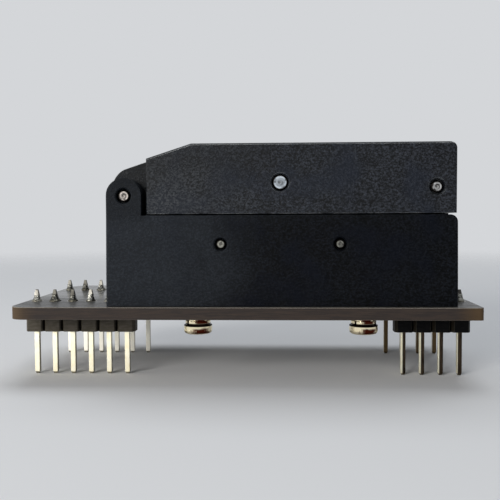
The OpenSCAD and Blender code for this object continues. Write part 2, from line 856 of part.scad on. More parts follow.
module chip_nest() {
    boss = flange_open - 2 * slide_gap;
    hole = barrel_d + 2 * seat_gap;
    color("#2a2d30") difference() {
        translate([socket_x, 0, 0]) difference() {
            union() {
                block(nest_l, nest_w, z_nest, z_nest_top);
                block(boss, boss, z_nest_boss, z_nest + over);
            }
            chip_pocket();
        }
        translate([socket_x - chip_l / 2 - index_inset, chip_w / 2 + index_inset, 0])
            post(index_d, z_nest_top - index_d / 4, z_nest_top + over);
        for (s = [-1, 1]) nest_pin_slot(socket_x + s * nest_pin_gap / 2);
        for (p = nest_spring_sites) translate(p)
            post(nest_spring_d + 2 * spring_room, z_nest - over, z_nest + nest_seat_depth);
        for (p = ball_sites) translate(p) post(hole, z_nest_boss - over, z_seat + over);
    }
}

module nest_springs() {
    l = z_nest + nest_seat_depth - z_flange;
    color("#b8bcc2") for (p = nest_spring_sites)
        translate([p[0], p[1], z_flange]) compression_spring(nest_spring_d, nest_wire, nest_turns, l);
}

module nest_pins() {
    color("#a9adb2") for (s = [-1, 1])
        cross_pin(nest_pin_d, socket_w, socket_x + s * nest_pin_gap / 2, z_nest_pin);
}

// The lid and what it carries

module hinge_pin() {
    color("#a9adb2") cross_pin(hinge_pin_d, socket_w, x_hinge, z_hinge);
}

// The spring stands with one leg in the base and lifts the lid with the other
module hinge_spring() {
    drop = z_hinge - z_part + base_leg_depth;
    color("#b8bcc2") translate([x_hinge, -hinge_coil_l / 2, z_hinge])
        rotate([-90, 0, 0]) rotate([0, 0, 180])
            coil(hinge_coil_r, hinge_wire, hinge_coil_pitch, hinge_turns + 1 / 4, drop, lid_leg_l);
}

// Side view of the lid outside the hinge ears
module lid_side() {
    difference() {
        polygon([
            [x_heel, z_lid], [x_lid_end, z_lid], [x_lid_end, z_roof],
            [x_heel + slope_l, z_roof], [x_heel, z_lid + heel_h]
        ]);
        translate([x_lid_end, z_roof]) corner_cut(lid_edge_r);
    }
}

// Side view of the heel between the ears: it carries on the slope and turns round the hinge pin
module heel_side() {
    turn_r = ear_r - slide_gap / 2;
    x_back = x_hinge - turn_r;
    arc_x = x_back + heel_r;
    arc_z = z_lid + heel_h - (x_heel - arc_x) * tan(slope_angle) - heel_r / cos(slope_angle);
    meet_x = arc_x - heel_r * sin(slope_angle);
    fall = tan(slope_angle) + heel_sink / (x_heel - meet_x);
    translate([x_hinge, z_hinge]) circle(turn_r);
    translate([x_hinge, z_lid]) square([x_heel + over - x_hinge, z_hinge - z_lid]);
    difference() {
        polygon([
            [x_back, z_hinge], [x_heel + over, z_hinge], [x_heel + over, z_lid + heel_h - over],
            [x_heel, z_lid + heel_h], [x_back, z_lid + heel_h - (x_heel - x_back) * fall]
        ]);
        translate([x_back, arc_z]) difference() {
            square([meet_x - x_back, heel_r]);
            translate([heel_r, 0]) circle(heel_r);
        }
    }
}

// Pockets moulded into the underside of the lid, two by two, to keep its walls even
module core_pockets(x0, x1) {
    w = socket_w / 2 - core_wall - core_rib / 2;
    for (s = [-1, 1])
        block(x1 - x0, w, z_lid - over, z_lid + core_h, (x0 + x1) / 2, s * (core_rib + w) / 2);
}

module lid() {
    hole_l = pusher_l + 2 * pusher_room;
    hole_w = pusher_w + 2 * slide_gap;
    leg_d = hinge_wire + 2 * slide_gap;
    spring_hole = latch_spring_d + 2 * spring_room;
    color("#292b2e") difference() {
        union() {
            intersection() {
                along_y(socket_w) lid_side();
                moulding_block(x_heel, x_lid_end, z_lid, z_roof);
            }
            difference() {
                along_y(knuckle_w) heel_side();
                block(x_heel - x_left + over, spring_slot_w, z_lid - over, z_roof,
                    (x_heel + x_left - over) / 2);
            }
        }
        edge_chamfer([x_heel + slope_l, z_roof], [x_lid_end, z_roof], lid_chamfer);
        edge_chamfer([x_heel, z_lid + heel_h], [x_heel + slope_l, z_roof], lid_chamfer);
        block(hole_l, hole_w, z_lid - over, z_ceiling, socket_x);
        core_pockets(x_heel + lid_leg_l + core_wall - heel_gap - ear_r, socket_x - hole_l / 2 - core_wall);
        core_pockets(socket_x + hole_l / 2 + core_wall, x_latch_slot - latch_seat_depth - core_wall);
        translate([x_latch_slot, -latch_slot_w / 2, z_lid - over])
            cube([x_right - x_latch_slot + over, latch_slot_w, lid_h + 2 * over]);
        for (s = [-1, 1])
            translate([x_latch_slot - latch_seat_depth, s * latch_spring_gap / 2, z_latch_spring])
                rotate([0, 90, 0]) cylinder(d = spring_hole, h = latch_seat_depth + over);
        translate([x_heel - over, hinge_coil_l / 2 - leg_d / 2, z_hinge + hinge_coil_r - leg_d])
            cube([x_hinge + lid_leg_l - x_heel + slide_gap + over, leg_d, 3 / 2 * leg_d]);
        rod_y(hinge_pin_d + 2 * run_gap, socket_w, x_hinge, z_hinge);
        cross_bore(pusher_pin_d, socket_w, socket_x, z_pusher_pin, pusher_ring);
        cross_bore(latch_pin_d, socket_w, x_latch, z_latch);
    }
}

// Side view of the pusher's plate and of the hub that rocks on its pin
module pusher_side() {
    translate([socket_x - pusher_l / 2, z_pusher_plate]) square([pusher_l, pusher_t]);
    translate([socket_x - pusher_hub_r, z_pusher_plate])
        square([2 * pusher_hub_r, z_pusher_pin - z_pusher_plate]);
    translate([socket_x, z_pusher_pin]) circle(pusher_hub_r);
}

module pusher() {
    color("#33363a") difference() {
        union() {
            along_y(pusher_w) pusher_side();
            block(chip_l - 2 * face_inset, chip_w - 2 * face_inset, z_pusher_face,
                z_pusher_plate + over, socket_x);
        }
        rod_y(pusher_pin_d + 2 * run_gap, pusher_w + 2 * over, socket_x, z_pusher_pin);
    }
}

module pusher_pin() {
    color("#a9adb2") cross_pin(pusher_pin_d, socket_w, socket_x, z_pusher_pin);
}

// Side view of the latch's thumb tab with its grip grooves
module tab_side() {
    difference() {
        translate([x_tab, z_latch]) square([tab_t, z_tab_top - z_latch]);
        translate([x_latch_face, z_tab_top]) corner_cut(lid_edge_r);
        for (i = [1 : grip_count])
            translate([x_latch_face, z_tab_top - lid_edge_r - (i - half) * grip_pitch])
                circle(grip_pitch / 4);
    }
}

// Side view of the latch's arm with the hook at its lower end
module arm_side() {
    hook_l = x_latch_face - x_hook;
    polygon([
        [x_arm, z_latch + arm_t], [x_latch_face, z_latch + arm_t], [x_latch_face, z_hook - hook_h],
        [x_latch_face - hook_l * half, z_hook - hook_h], [x_hook, z_hook - hook_h * half],
        [x_hook, z_hook], [x_arm, z_hook]
    ]);
}

module latch() {
    seat = latch_spring_d + 2 * spring_room;
    color("#26282b") difference() {
        union() {
            along_y(latch_w) tab_side();
            along_y(latch_w) arm_side();
            rod_y(2 * latch_hub_r, latch_w, x_latch, z_latch);
        }
        rod_y(latch_pin_d + 2 * run_gap, latch_w + 2 * over, x_latch, z_latch);
        for (s = [-1, 1])
            translate([x_tab - over, s * latch_spring_gap / 2, z_latch_spring])
                rotate([0, 90, 0]) cylinder(d = seat, h = tab_seat_depth + over);
    }
}

module latch_pin() {
    color("#a9adb2") cross_pin(latch_pin_d, socket_w, x_latch, z_latch);
}

module latch_springs() {
    start = x_latch_slot - latch_seat_depth;
    l = x_tab + tab_seat_depth - start;
    color("#b8bcc2") for (s = [-1, 1])
        translate([start, s * latch_spring_gap / 2, z_latch_spring]) rotate([0, 90, 0])
            compression_spring(latch_spring_d, latch_wire, latch_turns, l);
}

// The fasteners under the board

// A screw head seen from the side, with its rounded outer edge at the bottom
module head_side() {
    difference() {
        translate([0, z_head - head_h]) square([head_d / 2, head_h]);
        translate([head_d / 2, z_head - head_h]) mirror([0, 1]) corner_cut(head_r);
    }
}

module mounting_screws() {
    slot_l = head_d * cross_share;
    slot_w = slot_l / 4;
    color("#cfc9bb") for (p = screw_sites) translate(p) difference() {
        union() {
            rotate_extrude() head_side();
            post(screw_d, z_head - run_gap, z_top + insert_l + screw_d * half);
        }
        block(slot_l, slot_w, z_head - head_h - over, z_head - head_h + cross_h);
        block(slot_w, slot_l, z_head - head_h - over, z_head - head_h + cross_h);
    }
}

// A washer between two heights
module washer(d, z0, z1) {
    difference() {
        post(d, z0, z1);
        post(screw_d + 2 * run_gap, z0 - over, z1 + over);
    }
}

module spring_washers() {
    split_w = spring_washer_t * half;
    color("#d8d2c4") for (p = screw_sites) translate(p) difference() {
        washer(spring_washer_d, z_head, z_spring_washer);
        rotate([0, 0, 225])
            block(spring_washer_d, split_w, z_head - over, z_spring_washer + over, spring_washer_d / 2);
    }
}

module plain_washers() {
    color("#d8d2c4") for (p = screw_sites) translate(p) washer(washer_d, z_spring_washer, z_board);
}

module threaded_inserts() {
    groove_h = insert_l / 5;
    groove_depth = 0.25;
    color("#c7a14c") for (p = screw_sites) translate([p[0], p[1], z_top]) difference() {
        cylinder(d = insert_d, h = insert_l);
        translate([0, 0, -over]) cylinder(d = screw_d + 2 * seat_gap, h = insert_l + 2 * over);
        translate([0, 0, 2 * groove_h]) difference() {
            cylinder(d = insert_d + over, h = groove_h);
            cylinder(d = insert_d - 2 * groove_depth, h = groove_h);
        }
    }
}

board();
strip_front_left();
strip_rear_left();
strip_front_right();
strip_rear_right();
pins_front_left();
pins_rear_left();
pins_front_right();
pins_rear_right();
solder_joints();
socket_base();
lower_probe_plate();
upper_probe_plate();
probe_barrels();
probe_plungers();
plate_screws();
chip_nest();
nest_springs();
nest_pins();
hinge_pin();
hinge_spring();
lid();
pusher();
pusher_pin();
latch();
latch_pin();
latch_springs();
mounting_screws();
spring_washers();
plain_washers();
threaded_inserts();
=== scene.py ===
"""Dresses the clamshell chip socket: finishes, solder cones, spring wires, studio and camera.
Lengths are millimetres of the shared frame, and MM turns them into Blender's metres."""

import json
import math
import random

import bpy
from mathutils import Matrix, Vector


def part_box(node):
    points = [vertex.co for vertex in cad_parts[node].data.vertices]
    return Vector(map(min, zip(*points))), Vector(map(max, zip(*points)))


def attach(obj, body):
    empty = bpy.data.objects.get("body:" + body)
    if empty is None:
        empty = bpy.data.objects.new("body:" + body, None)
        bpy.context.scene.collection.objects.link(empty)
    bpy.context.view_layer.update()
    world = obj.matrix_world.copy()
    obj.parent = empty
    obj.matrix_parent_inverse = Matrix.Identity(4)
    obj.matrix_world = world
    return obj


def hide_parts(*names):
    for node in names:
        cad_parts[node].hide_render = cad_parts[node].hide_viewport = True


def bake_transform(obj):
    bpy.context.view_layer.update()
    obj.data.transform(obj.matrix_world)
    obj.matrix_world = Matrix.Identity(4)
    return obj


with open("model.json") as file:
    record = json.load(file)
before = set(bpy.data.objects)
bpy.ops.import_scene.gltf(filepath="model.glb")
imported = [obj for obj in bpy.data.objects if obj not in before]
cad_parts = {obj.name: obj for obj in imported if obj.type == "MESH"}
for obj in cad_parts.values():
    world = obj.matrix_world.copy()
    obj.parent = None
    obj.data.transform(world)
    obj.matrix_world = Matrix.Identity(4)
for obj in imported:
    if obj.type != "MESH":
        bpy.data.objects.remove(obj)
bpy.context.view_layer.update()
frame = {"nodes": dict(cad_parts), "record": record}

MM = 0.001
TURN = 2 * math.pi


def corners(node):
    """The lowest and the highest corner of a node's solids, in millimetres."""
    low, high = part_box(node)
    return low / MM, high / MM


def cross_pin(node):
    """Where the middle of a pin, or of a pair of pins, that runs along Y lies along X and Z."""
    low, high = corners(node)
    return (low.x + high.x) / 2, (low.z + high.z) / 2


# The board, its pins and its pads
BOARD_FRONT = corners("board")[0].y
BOARD_END, _, BOARD_TOP = corners("board")[1]
FIELD_LOW, FIELD_HIGH = corners("pins_front_left")
PIN_HALF = (FIELD_HIGH.y - FIELD_LOW.y) / 2
FIRST_PIN = FIELD_LOW.x + PIN_HALF
ROW_Y = -FIELD_LOW.y - PIN_HALF
PIN_PITCH = 2.54
LEFT_COLUMNS = (0, 1, 2, 3, 4, 5)
RIGHT_COLUMNS = (20, 21, 22, 23)
OPEN_COLUMNS = (0, 1, 2, 3, 23)
PAD_RADIUS = 0.82
TRACK_PITCH = 1.27

# The screws under the board
HEAD_TOP = corners("spring_washers")[0].z

# The cross pins of the socket
HINGE = cross_pin("hinge_pin")
PUSHER = cross_pin("pusher_pin")
LATCH = cross_pin("latch_pin")
NEST = cross_pin("nest_pins")
NEST_LOW, NEST_HIGH = corners("nest_pins")
NEST_PIN_GAP = (NEST_HIGH.x - NEST_LOW.x) / 2 - (NEST_HIGH.z - NEST_LOW.z) / 2
CROSS_PIN_END = corners("hinge_pin")[1].y
END_CHAMFER = 0.15

# The springs: wire, outer diameter or pitch of the coil, turns, and how far apart they stand
NEST_WIRE, NEST_COIL, NEST_TURNS = 0.28, 1.8, 4.5
NEST_SPRING_REACH = (5.0, 8.8)
LATCH_WIRE, LATCH_COIL, LATCH_TURNS = 0.3, 1.9, 5.5
LATCH_SPRING_REACH = 3.0
HINGE_WIRE, HINGE_COIL_PITCH, HINGE_TURNS = 0.5, 0.575, 8.25
COIL_STEPS = 28


def tone(hex_colour):
    """A colour written as red, green and blue in hexadecimal, as the shader's linear values."""
    parts = [int(hex_colour[i : i + 2], 16) / 255 for i in (0, 2, 4)]
    linear = [c / 12.92 if c <= 0.04045 else ((c + 0.055) / 1.055) ** 2.4 for c in parts]
    return (*linear, 1.0)


class Value:
    """One socket of a finish. Arithmetic on it adds Math nodes."""

    def __init__(self, finish, socket):
        self.finish = finish
        self.socket = socket

    def math(self, operation, *values):
        return self.finish.node("ShaderNodeMath", {"operation": operation}, dict(enumerate(values)))

    def sine(self):
        return self.math("SINE", self)

    def fraction(self):
        return self.math("FRACT", self)

    def zigzag(self, height):
        """Climbs from 0 to the height and back, over and over."""
        return self.math("PINGPONG", self, height)

    def at_most(self, limit):
        return self.math("MINIMUM", self, limit)

    def __add__(self, other):
        return self.math("ADD", self, other)

    def __radd__(self, other):
        return self.math("ADD", other, self)

    def __sub__(self, other):
        return self.math("SUBTRACT", self, other)

    def __rsub__(self, other):
        return self.math("SUBTRACT", other, self)

    def __mul__(self, other):
        return self.math("MULTIPLY", self, other)

    def __rmul__(self, other):
        return self.math("MULTIPLY", other, self)

    def __truediv__(self, other):
        return self.math("DIVIDE", self, other)

    def __pow__(self, other):
        return self.math("POWER", self, other)

    def __abs__(self):
        return self.math("ABSOLUTE", self)

    def __lt__(self, other):
        return self.math("LESS_THAN", self, other)

    def __gt__(self, other):
        return self.math("GREATER_THAN", self, other)


class Finish:
    """A node tree under construction, for a material or for the world."""

    def __init__(self, name, owner=None):
        self.owner = owner or bpy.data.materials.new(name)
        self.owner.use_nodes = True
        self.tree = self.owner.node_tree
        self.tree.nodes.clear()

    def node(self, kind, settings=None, sockets=None, out=0):
        """Adds a node, with its settings and the values or links of its sockets.
        Returns one of its outputs."""
        made = self.tree.nodes.new(kind)
        for key, value in (settings or {}).items():
            setattr(made, key, value)
        for key, value in (sockets or {}).items():
            if isinstance(value, Value):
                self.tree.links.new(value.socket, made.inputs[key])
            else:
                made.inputs[key].default_value = value
        return Value(self, made.outputs[out]) if made.outputs else None

    def vector(self, operation, sockets, out=0):
        return self.node("ShaderNodeVectorMath", {"operation": operation}, sockets, out)

    def place(self):
        """The point on the piece, in millimetres of the shared frame."""
        point = self.node("ShaderNodeTexCoord", out="Object")
        return self.vector("SCALE", {0: point, "Scale": 1 / MM})

    def split(self, vector):
        return [self.node("ShaderNodeSeparateXYZ", sockets={0: vector}, out=axis) for axis in "XYZ"]

    def stretch(self, vector, factors):
        return self.vector("MULTIPLY", {0: vector, 1: factors})

    def noise(self, vector, scale, detail=2.0, roughness=0.5):
        sockets = {"Vector": vector, "Scale": scale, "Detail": detail, "Roughness": roughness}
        return self.node("ShaderNodeTexNoise", {"noise_dimensions": "3D"}, sockets)

    def cells(self, vector, scale):
        return self.node("ShaderNodeTexVoronoi", {"feature": "F1"}, {"Vector": vector, "Scale": scale})

    def ease(self, value, low, high, start=0.0, end=1.0):
        """Runs smoothly from start to end as the value runs from low to high."""
        sockets = {"Value": value, "From Min": low, "From Max": high, "To Min": start, "To Max": end}
        return self.node("ShaderNodeMapRange", {"interpolation_type": "SMOOTHSTEP"}, sockets)

    def blend(self, factor, first, second):
        sockets = {0: factor, 6: first, 7: second}
        return self.node("ShaderNodeMix", {"data_type": "RGBA"}, sockets, out=2)

    def rounded(self, radius):
        """The normal as it would be with its sharp edges rounded by that radius."""
        return self.node("ShaderNodeBevel", {"samples": 6}, {"Radius": radius * MM})

    def edges(self, soft, low=0.01, high=0.2):
        """1 along the edges that the rounded normal softens, and 0 on the faces between them."""
        true = self.node("ShaderNodeNewGeometry", out="True Normal")
        return self.ease(1 - self.vector("DOT_PRODUCT", {0: soft, 1: true}, out="Value"), low, high)

    def facing(self):
        """How far a face looks along X, Y and Z."""
        return self.split(self.node("ShaderNodeNewGeometry", out="True Normal"))

    def bump(self, height, depth, soft=None):
        sockets = {"Height": height, "Distance": depth * MM, "Strength": 1.0}
        if soft is not None:
            sockets["Normal"] = soft
        return self.node("ShaderNodeBump", sockets=sockets)

    def surface(self, **sockets):
        """Closes a material with one Principled shader. Socket names have _ for a space."""
        named = {key.replace("_", " "): value for key, value in sockets.items()}
        shader = self.node("ShaderNodeBsdfPrincipled", sockets=named)
        self.node("ShaderNodeOutputMaterial", sockets={"Surface": shader})
        return self.owner


def column_place(column):
    """Where a column of pins stands along X."""
    return FIRST_PIN + column * PIN_PITCH


def off_column(x):
    """How far a place along X lies from the middle of the nearest column of pins."""
    return (((x - FIRST_PIN) / PIN_PITCH + 0.5).fraction() - 0.5) * PIN_PITCH


def moulded(name, dark, light, cool, worn_and_lit_edge, lit_end_tone, lit_mottle_share, rough, depth, shine):
    """Moulded plastic: the fine mottle of an eroded mould, cool clouds, and edges rubbed paler with a painted
    highlight along the top edges.
    Towards the hinge end it is lightened to the lit end tone as painted light, and the more the lit mottle
    share, the more that painted light keeps to the high spots of the mottle. The ears and the shoulder carry
    painted shade. Places are measured from the hinge pin."""
    f = Finish(name)
    point = f.place()
    x, _, z = f.split(point)
    past, above = x - HINGE[0], z - HINGE[1]
    grain = f.noise(f.stretch(point, (0.8, 0.8, 1.25)), 3.4, detail=4.0, roughness=0.62)
    fine = f.noise(point, 6.0, detail=3.0, roughness=0.6)
    specks = f.cells(point, 4.4)
    cloud = f.noise(point, 0.16, detail=3.0)
    patch = f.noise(point, 0.5, detail=4.0, roughness=0.6)
    mottle = f.ease(grain * 0.55 + fine * 0.2 + (1 - specks) * 0.15 + patch * 0.1, 0.42, 0.63)
    colour = f.blend(mottle, dark, light)
    colour = f.blend(f.ease(cloud, 0.45, 0.68) * 0.6, colour, cool)
    # Painted light: the plastic is lightened towards the hinge end, where the light falls.
    painted_light_hinge_end = f.ease(past + (cloud - 0.5) * 16, 4.5, 20.5, 1.0, 0.0)
    colour = f.blend(painted_light_hinge_end * (1 - lit_mottle_share + lit_mottle_share * mottle), colour, lit_end_tone)
    # Painted shade on the ears and on the upper hinge side of the lid.
    painted_shade_ears = f.ease(past, 2.5, 3.9, 0.35, 0.0) * f.ease(above, -4.0, -2.5)
    painted_shade_shoulder = f.ease(past, 13.5, 25.5, 0.3, 0.0) * f.ease(above, 0.0, 4.0)
    colour = f.blend(painted_shade_ears + painted_shade_shoulder, colour, dark)
    soft = f.rounded(0.14)
    # Edges paler partly from random rubbed wear and partly from a painted highlight along the top edges,
    # stronger towards the hinge end.
    painted_highlight_top_edge = f.ease(above, 3.0, 6.0) * f.ease(past, 15.5, 29.5, 0.7, 0.4)
    wear_and_highlight = f.ease(patch, 0.4, 0.62) * 0.3 + painted_highlight_top_edge
    colour = f.blend(f.edges(soft, 0.01, 0.1) * wear_and_highlight, colour, worn_and_lit_edge)
    return f.surface(
        Base_Color=colour,
        Roughness=rough + 0.16 * grain - 0.08 * cloud,
        Specular_IOR_Level=shine,
        Normal=f.bump(mottle, depth, soft),
    )


def laminate():
    """The board: black solder mask over faint tracks, glossier towards the rear, with tinned
    pads round the pins and a brown layered edge, with painted highlights at its ends and along its edges."""
    f = Finish("board laminate")
    point = f.place()
    x, y, z = f.split(point)
    flat = f.ease(abs(f.facing()[2]), 0.4, 0.6)
    across = off_column(x)
    aside = abs(y) - ROW_Y
    reach = (across * across + aside * aside) ** 0.5
    field = (x < column_place(LEFT_COLUMNS[-1] + 0.5)) + (x > column_place(RIGHT_COLUMNS[0] - 0.5))
    pad = f.ease(reach, PAD_RADIUS - 0.02, PAD_RADIUS + 0.02, 1.0, 0.0) * field
    tracks = f.ease((y / TRACK_PITCH + 0.5).zigzag(0.5), 0.1, 0.16, 1.0, 0.0) * field
    streaks = f.noise(f.stretch(point, (0.22, 2.4, 1.0)), 1.1, detail=4.0, roughness=0.65)
    haze = f.noise(point, 0.45, detail=4.0, roughness=0.6)
    mask = f.blend(f.ease(streaks * 0.6 + haze * 0.4, 0.38, 0.64), tone("1e1d1c"), tone("2f2e2c"))
    top = f.blend(pad * 0.9, mask, tone("a9a59a"))
    layers = f.noise(f.stretch(point, (0.06, 0.06, 1.0)), 5.2, detail=2.0)
    fibres = f.noise(f.stretch(point, (0.5, 0.5, 3.0)), 2.2, detail=4.0, roughness=0.7)
    edge = f.blend(f.ease(layers * 0.6 + fibres * 0.4, 0.36, 0.66), tone("1e1613"), tone("2f241d"))
    # Painted highlight: the edge turns amber near both ends, where the rounded corners catch the light.
    ends = f.ease(abs(x), BOARD_END - 4.0, BOARD_END - 0.1)
    edge = f.blend(ends * 0.65, edge, tone("4f3b1d"))
    colour = f.blend(flat, edge, top)
    soft = f.rounded(0.16)
    # Painted highlight along the edges, strongest along the top edges.
    painted_highlight_top = f.ease(z, BOARD_TOP - 0.44, BOARD_TOP - 0.14)
    colour = f.blend(f.edges(soft, 0.02, 0.15) * (0.2 + 0.7 * painted_highlight_top), colour, tone("b5afa5"))
    relief = pad * 0.5 + tracks * 0.35 + streaks * 0.3
    gloss = f.ease(y - BOARD_FRONT, 5.5, 16.0, 0.0, 0.5)
    return f.surface(
        Base_Color=colour,
        Metallic=pad * flat * 0.8,
        Roughness=0.75 - 0.5 * flat + 0.4 * f.ease(streaks, 0.35, 0.7) * flat,
        Coat_Weight=gloss * flat,
        Coat_Roughness=0.14,
        Specular_IOR_Level=0.4,
        Normal=f.bump(relief * flat + (1 - flat) * fibres * 0.4, 0.05, soft),
    )


def strip_plastic():
    """Black header plastic with flow lines, lightened to a brown grey at the hinge end as painted light, with
    painted shade in its notches, painted highlights on its edges and painted light on its sides facing the
    hinge end.
    """
    f = Finish("header plastic")
    point = f.place()
    hinge_end = f.split(point)[0] < 0
    flow = f.noise(f.stretch(point, (0.5, 2.0, 2.0)), 1.8, detail=4.0)
    grain = f.noise(point, 5.0, detail=3.0)
    streak = f.ease(flow, 0.38, 0.66)
    # Painted light: the hinge-end tone (dull) is lit to a brown grey, while the latch-end tone stays nearly
    # black.
    latch_end_tone = f.blend(streak, tone("060607"), tone("0e0d0e"))
    dull = f.blend(streak, tone("46423a"), tone("524d46"))
    colour = f.blend(hinge_end, latch_end_tone, dull)
    soft = f.rounded(0.1)
    # Painted highlight along the edges.
    colour = f.blend(f.edges(soft) * 0.6, colour, tone("6a6756"))
    # Painted shade: darkened in the notches and wherever the plastic is closed in.
    shade_open_share = f.node("ShaderNodeAmbientOcclusion", {"samples": 8}, {"Distance": 0.7 * MM}, out="AO")
    colour = f.blend(f.ease(shade_open_share, 0.45, 0.8), tone("020202"), colour)
    # Painted light on the sides that face the hinge end.
    painted_light_hinge_side = f.ease(f.facing()[0], -0.9, -0.5, 1.0, 0.0)
    colour = f.blend(painted_light_hinge_side * 0.3, colour, tone("4b4439"))
    return f.surface(
        Base_Color=colour,
        Roughness=0.42 + 0.18 * grain,
        Specular_IOR_Level=0.06,
        Normal=f.bump(grain, 0.02, soft),
    )


def plated(name, bright, dull, rough, along):
    """Plated metal drawn along one direction, with fine lines and dull patches."""
    f = Finish(name)
    point = f.place()
    lines = f.noise(f.stretch(point, along), 7.0, detail=3.0)
    patches = f.noise(point, 0.9, detail=3.0)
    return f.surface(
        Base_Color=f.blend(f.ease(lines * 0.5 + patches * 0.5, 0.36, 0.66), bright, dull),
        Metallic=1.0,
        Roughness=rough + 0.14 * lines + 0.08 * patches,
        Normal=f.bump(lines, 0.004, f.rounded(0.04)),
    )


def dull_joint(f, point):
    """How dull the solder is, in turn joint by joint along a row, and out of step between the rows."""
    x, y, _ = f.split(point)
    joints_per_turn, first_phase, rear_lead = 4, 4.77, 0.9
    phase = x * (TURN / (joints_per_turn * PIN_PITCH)) + first_phase + rear_lead * (y > 0)
    return f.ease(phase.sine(), -0.6, 0.6)


def header_pin():
    """Square pins: pale gold flash, tinned where they stand above the board, with painted shade at the tips.
    The rear row is paler as painted light. At the latch end, and on the sides facing it, painted brown shade
    darkens them, in the front row only on their halves away from the hinge."""
    f = Finish("pin gold flash")
    point = f.place()
    x, y, z = f.split(point)
    rear = y > 0
    latch_end = x > 0
    lines = f.noise(f.stretch(point, (3.0, 3.0, 0.12)), 7.0, detail=3.0)
    patches = f.noise(point, 0.9, detail=3.0)
    colour = f.blend(f.ease(lines * 0.5 + patches * 0.5, 0.36, 0.66), tone("fffbe6"), tone("f6ecca"))
    # Painted light: the rear row is paler.
    colour = f.blend(rear * 0.7, colour, tone("fffdf6"))
    # Painted shade: brown at the latch end, in the front row only on the halves away from the hinge, and on
    # every side facing the latch end.
    painted_shade_tone = f.blend(f.ease(lines, 0.4, 0.62), tone("473c31"), tone("211c18"))
    painted_shade_tone = f.blend(rear * 0.6, painted_shade_tone, tone("6d5b3f"))
    into_field = x - column_place(RIGHT_COLUMNS[0])
    shaded_share = f.ease(off_column(x) + into_field * 0.02, -0.18, -0.02) * (1 - rear) + rear
    colour = f.blend(latch_end * shaded_share + 0.7 * f.facing()[0], colour, painted_shade_tone)
    # Painted shade at the tips.
    colour = f.blend(f.ease(z, 0.12, 0.3, 0.8, 0.0), colour, tone("5d5545"))
    tinned = f.blend(f.ease(patches, 0.4, 0.62), tone("807e78"), tone("454340"))
    tinned = f.blend(dull_joint(f, point) * 0.75, tinned, tone("24231f"))
    colour = f.blend(f.ease(z, BOARD_TOP - 0.14, BOARD_TOP + 0.16), colour, tinned)
    return f.surface(
        Base_Color=colour,
        Metallic=1.0,
        Roughness=0.34 + 0.1 * lines + 0.08 * patches,
        Normal=f.bump(lines, 0.0015, f.rounded(0.04)),
    )


def solder_metal():
    """Hand-soldered cones: tin with dull frosting and flux round the foot."""
    f = Finish("solder")
    point = f.place()
    frost = f.noise(point, 2.4, detail=4.0, roughness=0.6)
    ripple = f.noise(point, 3.5, detail=3.0)
    foot = f.ease(f.split(point)[2], BOARD_TOP + 0.02, BOARD_TOP + 0.36, 1.0, 0.0)
    colour = f.blend(f.ease(frost, 0.4, 0.65), tone("8e8e88"), tone("454441"))
    colour = f.blend(dull_joint(f, point) * 0.75, colour, tone("24231f"))
    colour = f.blend(foot * 0.35, colour, tone("77715f"))
    return f.surface(
        Base_Color=colour,
        Metallic=1.0,
        Roughness=0.08 + 0.3 * frost + 0.15 * foot,
        Normal=f.bump(ripple, 0.12),
    )


def screw_nickel():
    """Bright nickel, with painted shade as a black band between washer and head and a ragged red-brown
    painted reflection on the sides turned to the latch end."""
    f = Finish("screw nickel")
    point = f.place()
    z = f.split(point)[2]
    latchward, _, upward = f.facing()
    patch = f.noise(point, 1.1, detail=3.0)
    lines = f.noise(f.stretch(point, (1.0, 1.0, 2.5)), 7.0, detail=3.0)
    ragged = (patch - 0.5) * 1.2
    side = f.ease(latchward + ragged, -0.45, 0.0)
    side = side * f.ease(latchward - ragged, 0.6, 0.95, 1.0, 0.0)
    side = side * f.ease(abs(upward), 0.55, 0.9, 1.0, 0.0)
    below_rim = f.ease(z + ragged * 0.6, HEAD_TOP - 0.47, HEAD_TOP - 0.15, 1.0, 0.0)
    washer = f.ease(z, HEAD_TOP + 0.25, HEAD_TOP + 0.33)
    # Painted shade: a black band between washer and head.
    painted_shade_gap = f.ease(z, HEAD_TOP - 0.15, HEAD_TOP - 0.07) * (1 - washer)
    # Painted reflection: dark red-brown on the latch-facing sides below the head's rim and on the washer.
    painted_reflection = side * (below_rim + washer)
    colour = f.blend(painted_reflection, tone("fff1cd"), tone("44190d"))
    colour = f.blend(painted_shade_gap, colour, tone("15100c"))
    return f.surface(
        Base_Color=colour,
        Metallic=1.0,
        Roughness=0.1 + 0.14 * lines + 0.12 * painted_reflection,
        Normal=f.bump(lines, 0.004, f.rounded(0.06)),
    )


